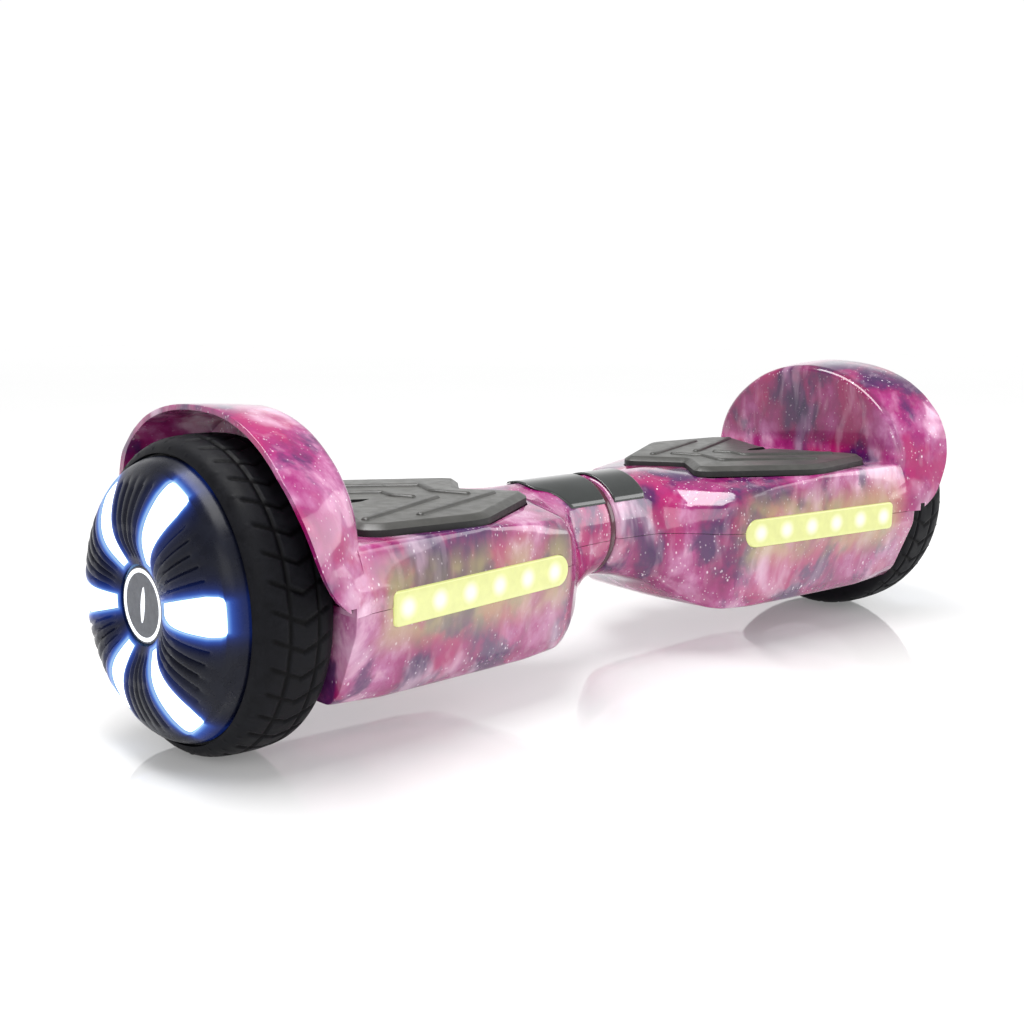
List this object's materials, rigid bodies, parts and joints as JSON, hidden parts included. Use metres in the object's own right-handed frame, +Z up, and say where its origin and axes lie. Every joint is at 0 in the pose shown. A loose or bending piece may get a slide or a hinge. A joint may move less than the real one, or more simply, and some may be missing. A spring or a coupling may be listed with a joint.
{
  "type": "self balancing scooter board",
  "caption": "Two-wheel self-balancing board: twisting footboard halves on a pivot tube, arched fenders, lit hub-motor wheels and chevron foot pads.",
  "frame": {"origin": "on the floor, midway between the wheels and centred front to back", "axes": "+X along the wheel axle line towards the half with the charging socket, -Y the front with the yellow-green lamps, +Z up"},
  "size_m": [0.62, 0.1919, 0.1795],
  "materials": {
    "shell": "gloss printed film over moulded shell, pink, violet and white cloud pattern",
    "pad_rubber": "satin moulded rubber",
    "tyre": "solid rubber tyre",
    "wheel_trim": "satin moulded",
    "light_diffuser": "milky translucent, lit white from behind",
    "lamp_front": "milky yellow-green lens, lit",
    "lamp_rear": "red lens, lit",
    "gloss_black": "piano black",
    "collar": "gloss magenta",
    "cast_alloy": "die cast, bead blasted",
    "steel": "machined",
    "winding": "enamelled copper over a laminated core",
    "cable": "sleeved cable",
    "circuit_board": "green solder mask",
    "heat_sink": "control board with its heat sink",
    "battery": "shrink-wrapped cell pack",
    "bushing": "nylon"
  },
  "bodies": {
    "left_half": {"upper_shell_left": "shell", "lower_shell_left": "shell", "chassis_left": "cast_alloy", "axle_clamp_left": "steel", "clamp_screw_front_left": "steel", "clamp_screw_rear_left": "steel", "axle_left": "steel", "stator_left": "winding", "motor_cable_left": "cable", "gyro_board_left": "circuit_board", "lamp_board_left": "circuit_board", "front_lamp_lens_left": "lamp_front", "rear_lamp_lens_left": "lamp_rear", "neck_cap_left": "gloss_black", "battery_pack": "battery", "pivot_bush_inner": "bushing", "pivot_bush_outer": "bushing"},
    "right_half": {"upper_shell_right": "shell", "lower_shell_right": "shell", "chassis_right": "cast_alloy", "axle_clamp_right": "steel", "clamp_screw_front_right": "steel", "clamp_screw_rear_right": "steel", "axle_right": "steel", "stator_right": "winding", "motor_cable_right": "cable", "gyro_board_right": "circuit_board", "lamp_board_right": "circuit_board", "front_lamp_lens_right": "lamp_front", "rear_lamp_lens_right": "lamp_rear", "neck_cap_right": "gloss_black", "pivot_tube": "steel", "pivot_circlip": "steel", "pivot_collar": "collar", "pivot_harness": "cable", "main_board": "heat_sink", "charge_socket": "wheel_trim"},
    "left_wheel": {"tyre_left": "tyre", "hub_can_left": "cast_alloy", "hub_end_plate_left": "cast_alloy", "magnet_ring_left": "steel", "bearing_inboard_left": "steel", "bearing_outboard_left": "steel", "wheel_cover_left": "wheel_trim", "wheel_light_left": "light_diffuser", "hub_badge_left": "wheel_trim"},
    "right_wheel": {"tyre_right": "tyre", "hub_can_right": "cast_alloy", "hub_end_plate_right": "cast_alloy", "magnet_ring_right": "steel", "bearing_inboard_right": "steel", "bearing_outboard_right": "steel", "wheel_cover_right": "wheel_trim", "wheel_light_right": "light_diffuser", "hub_badge_right": "wheel_trim"},
    "left_pad": {"foot_pad_left": "pad_rubber"},
    "right_pad": {"foot_pad_right": "pad_rubber"},
    "power_button": {"power_button": "gloss_black"},
    "charge_flap": {"charge_flap": "pad_rubber"}
  },
  "joints": [
    {"name": "centre_twist", "type": "hinge", "parent": "left_half", "child": "right_half", "pos_m": [0, 0, 0.087], "axis": [1, 0, 0], "range_deg": [-12, 12]},
    {"name": "wheel_spin_left", "type": "hinge", "parent": "left_half", "child": "left_wheel", "pos_m": [-0.263, 0, 0.0825], "axis": [1, 0, 0], "continuous": true},
    {"name": "wheel_spin_right", "type": "hinge", "parent": "right_half", "child": "right_wheel", "pos_m": [0.263, 0, 0.0825], "axis": [1, 0, 0], "continuous": true},
    {"name": "foot_press_left", "type": "slide", "parent": "left_half", "child": "left_pad", "axis": [0, 0, -1], "range_m": [0, 0.0015], "stiffness_N_per_m": 4000},
    {"name": "foot_press_right", "type": "slide", "parent": "right_half", "child": "right_pad", "axis": [0, 0, -1], "range_m": [0, 0.0015], "stiffness_N_per_m": 4000},
    {"name": "button_press", "type": "slide", "parent": "right_half", "child": "power_button", "axis": [0, -1, 0], "range_m": [0, 0.001], "stiffness_N_per_m": 1200},
    {"name": "flap_open", "type": "hinge", "parent": "right_half", "child": "charge_flap", "pos_m": [0.118, 0.077, 0.0705], "axis": [1, 0, 0], "range_deg": [0, 100]}
  ]
}
